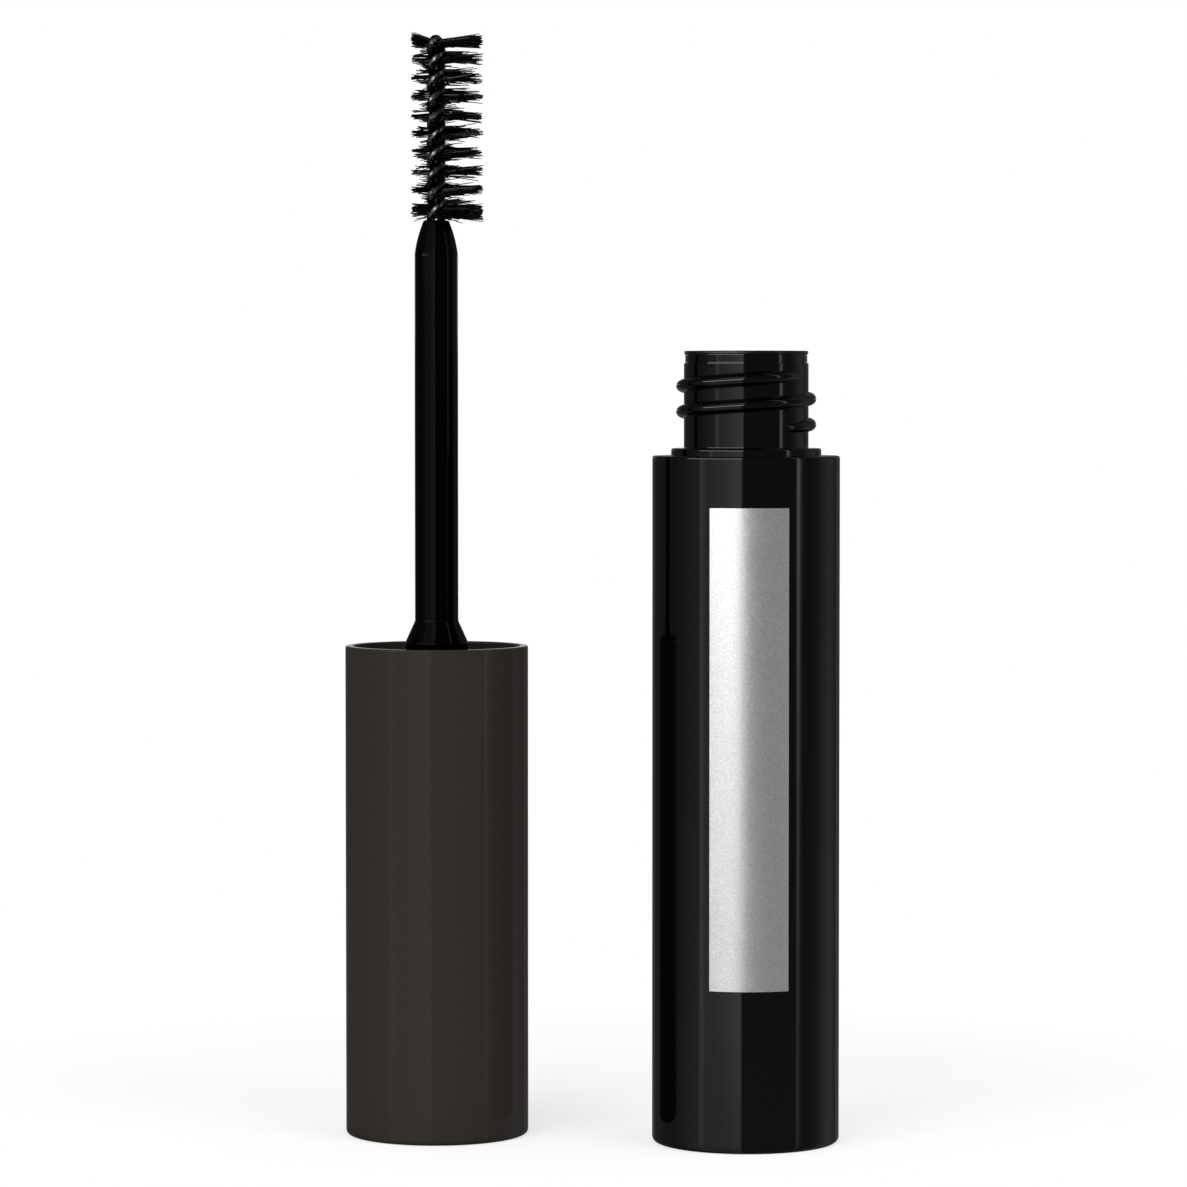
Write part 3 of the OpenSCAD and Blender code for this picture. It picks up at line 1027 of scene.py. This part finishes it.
    def reach(self, angle: float) -> float:
        """Distance from the wire to the trimmed outline in a direction, in millimetres."""
        aside = self.brush_offset * math.sin(angle)
        return self.brush_offset * math.cos(angle) + math.sqrt(self.brush_radius**2 - aside**2)

    def fibre_shapes(self) -> list[bpy.types.Mesh]:
        """Makes unit fibres along +X, each 1 m long and bent its own way.

        Returns:
            The fibres' meshes, to be scaled along X.
        """
        shapes = []
        for bend_up, bend_side in self.BENDS:
            bm = bmesh.new()
            radius = self.fibre_radius * MM
            bmesh.ops.create_circle(bm, cap_ends=False, radius=radius, segments=self.fibre_sides)
            rotate(bm, math.pi / 2, "Y")
            edges = bm.edges[:]
            for along, thin in self.SEGMENTS:
                made = bmesh.ops.extrude_edge_only(bm, edges=edges)["geom"]
                verts = [g for g in made if isinstance(g, bmesh.types.BMVert)]
                edges = [g for g in made if isinstance(g, bmesh.types.BMEdge)]
                bmesh.ops.translate(bm, verts=verts, vec=(along, 0, 0))
                bmesh.ops.scale(bm, verts=verts, vec=(1, thin, thin))
            for vert in bm.verts:
                along = vert.co.x
                vert.co.z += bend_up * along * along * MM
                vert.co.y += bend_side * along * along * MM
            close_ends(bm)
            shapes.append(mesh_from(bm, Vector()))
        return shapes

    def stand(
        self,
        bm: BMesh,
        draw: random.Random,
        shapes: Sequence[bpy.types.Mesh],
        z: float,
        turn: float,
        lean: float,
    ) -> None:
        """Stands one fibre in the wire.

        Args:
            bm: the mesh of all fibres.
            draw: the source of chance.
            shapes: the unit fibres to choose from.
            z: height of its root in millimetres.
            turn: its direction round the wire, in radians.
            lean: its rise towards the tip, in radians.
        """
        short = abs(draw.gauss(0, self.trim_spread))
        short += (draw.random() < self.broken_share) * draw.uniform(*self.broken_by)
        length = self.reach(turn) / math.cos(lean) - short - self.fibre_root
        aside = draw.uniform(-self.root_aside, self.root_aside)
        matrix = (
            Matrix.Translation((0, 0, z * MM))
            @ Matrix.Rotation(turn, 4, "Z")
            @ Matrix.Translation((self.fibre_root * MM, aside * MM, 0))
            @ Matrix.Rotation(-lean, 4, "Y")
            @ Matrix.Rotation(draw.uniform(0, math.tau), 4, "X")
            @ Matrix.Diagonal((length * MM, 1, 1, 1))
        )
        fibre = draw.choice(shapes).copy()
        fibre.transform(matrix)
        bm.from_mesh(fibre)
        bpy.data.meshes.remove(fibre)

    def bristles(self) -> None:
        """Builds the bristles: two rows of fibres that wind round with the wire.

        Fibres stand in tufts that lean together, with small gaps between the tufts, and some
        are broken short. The brush is trimmed off centre, and its short side stands thinner and
        straighter.
        """
        draw = random.Random(self.seed)
        shapes = self.fibre_shapes()
        bm = bmesh.new()
        step = (self.hair_high - self.hair_low) / self.fibres_a_row
        for row in (0, 1):
            tuft, gap, tuft_lean, tuft_turn = 0, 0, 0.0, 0.0
            for k in range(self.fibres_a_row):
                if tuft == 0:
                    tuft = draw.randint(*self.tuft_fibres)
                    gap = draw.randint(*self.tuft_gap)
                    tuft_lean = draw.gauss(0, self.tuft_lean)
                    tuft_turn = draw.gauss(0, self.tuft_turn)
                tuft -= 1
                if tuft < gap:
                    continue
                z = self.hair_low + step * (k + 0.5)
                turn = self.twist(z) + math.pi * row
                long_side = math.cos(turn) > 0
                splay = self.splay_long if long_side else self.splay_short
                turn += math.radians(tuft_turn + draw.gauss(0, splay))
                if draw.random() > (1.0 if long_side else self.fill_short):
                    continue
                lean = tuft_lean + draw.gauss(0, self.fibre_lean)
                if not long_side:
                    lean -= self.lean_short * math.sin(2 * turn)
                self.stand(bm, draw, shapes, z, turn, math.radians(lean))
        for end in self.END_TUFTS:
            for _ in range(end.fibres):
                z = draw.uniform(*end.z)
                turn = math.radians(draw.uniform(*end.turn))
                self.stand(bm, draw, shapes, z, turn, math.radians(draw.uniform(*end.lean)))
        mesh = mesh_from(bm, self.place)
        finish_piece("bristle_fibres", mesh, BRISTLE_NYLON, Body.WAND_CAP, "brush_bristles")
        for shape in shapes:
            bpy.data.meshes.remove(shape)

    def build(self) -> None:
        """Builds every piece of the wand."""
        self.stem()
        self.wire()
        self.bristles()


# ---------------------------------------------------------------- studio


@dataclass(frozen=True)
class TentLayer:
    """One part of the tent: its greys round the set, and their share by height.

    Directions are in degrees from the front towards the right, heights in millimetres.
    """

    around: tuple[tuple[float, float], ...]
    height: tuple[tuple[float, float], ...]


# Dark cloth all round, paler at both sides, as the gloss shows it
CLOTH = TentLayer(
    around=(
        *((-180, 0.10), (-158, 0.08), (-148, 0.044), (-134, 0.064), (-118, 0.07), (-98, 0.094)),
        *((-91, 0.13), (-84, 0.16), (-78, 0.20), (-72, 0.24), (-64, 0.265), (-61, 0.26)),
        *((-6, 0.1), (79, 0.092), (89, 0.095), (96, 0.116), (104, 0.175), (112, 0.204)),
        *((122, 0.196), (127, 0.16), (133, 0.115), (140, 0.061), (145, 0.06), (149, 0.16)),
        *((153, 0.07), (165, 0.08), (180, 0.10)),
    ),
    height=((-900, 1.0), (-150, 1.35), (-30, 1.0), (600, 1.0), (800, 0.3), (900, 0.3)),
)
# White card at the left front, whose image is the broad pale band on the gloss
LEFT_CARD = TentLayer(
    around=(
        *((-180, 0.0), (-61.7, 0.0), (-59.8, 0.38), (-57.0, 0.50), (-54.3, 0.35)),
        *((-51.8, 0.22), (-46.4, 0.24), (-36, 0.35), (-28.4, 0.44), (-20.9, 0.56)),
        *((-13.5, 0.70), (-7.4, 0.76), (-6.3, 0.0), (180, 0.0)),
    ),
    height=((-900, 0.3), (-155, 0.4), (-105, 1.0), (700, 1.0), (850, 0.0), (900, 0.0)),
)
# Softbox above the card. The long walls mirror what lies under it, so it lights the rough foil,
# and shows only on rounded edges
TOP_CARD = TentLayer(
    around=((-180, 0.0), (-80, 0.0), (-76, 1.0), (-6.6, 1.0), (-5.6, 0.0), (180, 0.0)),
    height=((-900, 0.0), (107, 0.0), (124, 6.2), (208, 6.2), (248, 0.0), (900, 0.0)),
)
# Narrow strip light at the right front, whose image is the thin bright line on the gloss
STRIP = TentLayer(
    around=(
        *((-180, 0.0), (61.6, 0.0), (62.8, 0.22), (64.4, 1.4), (66.3, 1.45), (68.3, 0.42)),
        *((71.4, 0.08), (75, 0.0), (180, 0.0)),
    ),
    height=(
        *((-900, 0.1), (-189, 0.136), (-150, 0.19), (-110, 0.27), (-70, 0.4), (-30, 0.57)),
        *((33, 1.0), (850, 1.0), (900, 0.0)),
    ),
)
# White backdrop above the horizon behind the set, which the upward faces show at a low angle
BACKDROP = TentLayer(
    around=((-180, 1.0), (-150, 1.0), (-140, 0.0), (140, 0.0), (150, 1.0), (180, 1.0)),
    height=((-900, 0.0), (63, 0.0), (68, 0.5), (95, 0.5), (130, 0.0), (900, 0.0)),
)
TENT = (CLOTH, LEFT_CARD, TOP_CARD, STRIP, BACKDROP)


@dataclass(frozen=True)
class Softbox:
    """A square lamp that lights the set and doesn't show in its gloss, which mirrors the tent.

    Angles are in degrees, round from the front towards the right and up from the horizon, and
    lengths in millimetres. At level 1, a white card that faces the lamp is white.
    """

    name: str
    azimuth: float
    elevation: float
    distance: float
    level: float
    size: float = 220.0
    aim: tuple[float, float, float] = (-11.0, 0.0, 35.0)

    def build(self) -> None:
        """Hangs the lamp and aims it at the set."""
        data = bpy.data.lights.new(self.name, "AREA")
        data.shape = "SQUARE"
        data.size = self.size * MM
        # Irradiance of level * pi at the set, for a lamp this far away
        data.energy = self.level * math.pi * math.pi * (self.distance * MM) ** 2
        box = new_object(self.name, data)
        a, e = math.radians(self.azimuth), math.radians(self.elevation)
        way = Vector((math.sin(a) * math.cos(e), -math.cos(a) * math.cos(e), math.sin(e)))
        box.location = (Vector(self.aim) + way * self.distance) * MM
        box.rotation_euler = way.to_track_quat("Z", "Y").to_euler()
        box.visible_camera = False
        box.visible_glossy = False


SOFTBOXES = (
    Softbox("key_softbox", azimuth=-28, elevation=40, distance=360, level=0.5),
    Softbox("fill_softbox", azimuth=48, elevation=40, distance=420, level=0.27),
)


@dataclass
class Studio:
    """Pale table, dark tent with a white card and a strip light, lamps and camera.

    Lengths are in millimetres and angles in degrees. The camera's clip distances are in metres.
    """

    camera_at: tuple[float, float, float] = (-10.458, -362.251, 56.682)
    camera_tilt: float = 2.324
    camera_pan: float = 0.148
    camera_shift: float = -0.01
    camera_clip: tuple[float, float] = (0.01, 10.0)
    focal_px: float = 4851.7
    image_px: float = 1187.0
    sensor: float = 36.0
    ambient: float = 0.54
    table_centre: tuple[float, float, float] = (-11.0, 28.0, -0.02)
    table_half: tuple[float, float] = (60.0, 52.0)
    table_sides: int = 96
    table_fade: tuple[float, float] = (0.6, 0.97)
    table_lights: str = "#BCBCBC"
    table_shows: str = "#A4A4A4"
    table_lift: float = 0.66
    tent_radius: float = 900.0
    tent_middle: float = 30.0
    tent_segments: tuple[int, int] = (64, 32)

    def camera(self) -> None:
        """Places the camera of the photograph."""
        data = bpy.data.cameras.new("camera")
        data.sensor_width = self.sensor
        data.lens = self.focal_px / self.image_px * self.sensor
        data.shift_y = self.camera_shift
        data.clip_start, data.clip_end = self.camera_clip
        camera = new_object("camera", data)
        camera.location = Vector(self.camera_at) * MM
        camera.rotation_euler = (
            math.radians(90 - self.camera_tilt),
            0.0,
            math.radians(self.camera_pan),
        )
        bpy.context.scene.camera = camera

    def world(self) -> None:
        """White background for the rays that show it, soft ambient for those that light the set."""
        world = bpy.data.worlds.new("studio")
        bpy.context.scene.world = world
        world.use_nodes = True
        tree = world.node_tree
        tree.nodes.clear()
        soft_light = {"Color": srgb(WHITE), "Strength": self.ambient}
        soft = add_node(tree, "ShaderNodeBackground", soft_light).outputs[0]
        white = add_node(tree, "ShaderNodeBackground", {"Color": srgb(WHITE)}).outputs[0]
        mix = add_node(tree, "ShaderNodeMixShader", {0: shown_rays(tree), 1: soft, 2: white})
        add_node(tree, "ShaderNodeOutputWorld", {"Surface": mix.outputs[0]})

    def table(self) -> None:
        """A small pale table top that fades into the white background.

        It is paler to the rays that light the set than to those that show it.
        """
        half_x, half_y = (half * MM for half in self.table_half)
        place = Vector(self.table_centre) * MM
        bm = bmesh.new()
        bmesh.ops.create_circle(bm, cap_ends=True, radius=1.0, segments=self.table_sides)
        bmesh.ops.scale(bm, verts=bm.verts[:], vec=(half_x, half_y, 1))
        mesh = mesh_from(bm, place)
        material, tree = new_material("pale_table")
        lights = add_node(tree, "ShaderNodeBsdfDiffuse", {"Color": srgb(self.table_lights)})
        shows = add_node(tree, "ShaderNodeBsdfDiffuse", {"Color": srgb(self.table_shows)})
        lift = add_node(tree, "ShaderNodeEmission", {"Strength": self.table_lift})
        both = add_node(tree, "ShaderNodeAddShader", {0: shows.outputs[0], 1: lift.outputs[0]})
        tops = {0: shown_rays(tree), 1: lights.outputs[0], 2: both.outputs[0]}
        top = add_node(tree, "ShaderNodeMixShader", tops).outputs[0]
        spot = add_node(tree, "ShaderNodeTexCoord").outputs["Object"]
        for value, operation in ((place, "SUBTRACT"), ((1 / half_x, 1 / half_y, 0), "MULTIPLY")):
            step = add_node(tree, "ShaderNodeVectorMath", {0: spot, 1: value}, operation=operation)
            spot = step.outputs[0]
        far = add_node(tree, "ShaderNodeVectorMath", {0: spot}, operation="LENGTH")
        start, end = self.table_fade
        share = {"Value": far.outputs["Value"], 1: start, 2: end}
        fade = add_node(tree, "ShaderNodeMapRange", share)
        edge = add_node(tree, "ShaderNodeEmission").outputs[0]
        surface = add_node(tree, "ShaderNodeMixShader", {0: fade.outputs[0], 1: top, 2: edge})
        add_node(tree, "ShaderNodeOutputMaterial", {"Surface": surface.outputs[0]})
        mesh.materials.append(material)
        table = new_object("table", mesh)
        # The tent's cloth hangs below the table's edge, so the gloss shows cloth down to the foot
        table.visible_glossy = False

    def tent(self) -> None:
        """Dark tent round the set, seen only in reflections, with its cards and strip light."""
        bm = bmesh.new()
        radius, (round_steps, up_steps) = self.tent_radius * MM, self.tent_segments
        bmesh.ops.create_uvsphere(bm, u_segments=round_steps, v_segments=up_steps, radius=radius)
        bmesh.ops.reverse_faces(bm, faces=bm.faces[:])
        mesh = mesh_from(bm, Vector((0, 0, self.tent_middle * MM)))
        material, tree = new_material("tent_cloth")
        place = add_node(tree, "ShaderNodeTexCoord").outputs["Object"]
        parts = add_node(tree, "ShaderNodeSeparateXYZ", {0: place}).outputs
        front = add_node(tree, "ShaderNodeMath", {0: parts["Y"], 1: -1.0}, operation="MULTIPLY")
        sides = {0: parts["X"], 1: front.outputs[0]}
        turn = add_node(tree, "ShaderNodeMath", sides, operation="ARCTAN2")
        degrees = add_node(tree, "ShaderNodeMath", {0: turn.outputs[0]}, operation="DEGREES")
        glow = None
        for layer in TENT:
            grey = graph(tree, degrees.outputs[0], layer.around)
            level = graph(tree, parts["Z"], [(z * MM, share) for z, share in layer.height])
            part = add_node(tree, "ShaderNodeEmission", {"Color": grey, "Strength": level})
            if glow:
                glows = {0: glow.outputs[0], 1: part.outputs[0]}
                part = add_node(tree, "ShaderNodeAddShader", glows)
            glow = part
        add_node(tree, "ShaderNodeOutputMaterial", {"Surface": glow.outputs[0]})
        material.cycles.emission_sampling = "NONE"
        mesh.materials.append(material)
        tent = new_object("tent", mesh)
        tent.visible_camera = False
        tent.visible_diffuse = False
        tent.visible_shadow = False
        tent.visible_transmission = False

    def build(self) -> None:
        """Builds the whole studio."""
        self.camera()
        self.world()
        self.table()
        self.tent()
        for softbox in SOFTBOXES:
            softbox.build()
        bpy.context.scene.view_settings.view_transform = "Standard"


def main() -> None:
    """Builds the tube piece by piece."""
    logging.basicConfig(level=logging.INFO, format="%(name)s: %(message)s")
    Studio().build()
    for part in (Bottle(), Cap(), Wand()):
        part.build()
        log.info("%s built", type(part).__name__)


if __name__ == "__main__":
    main()
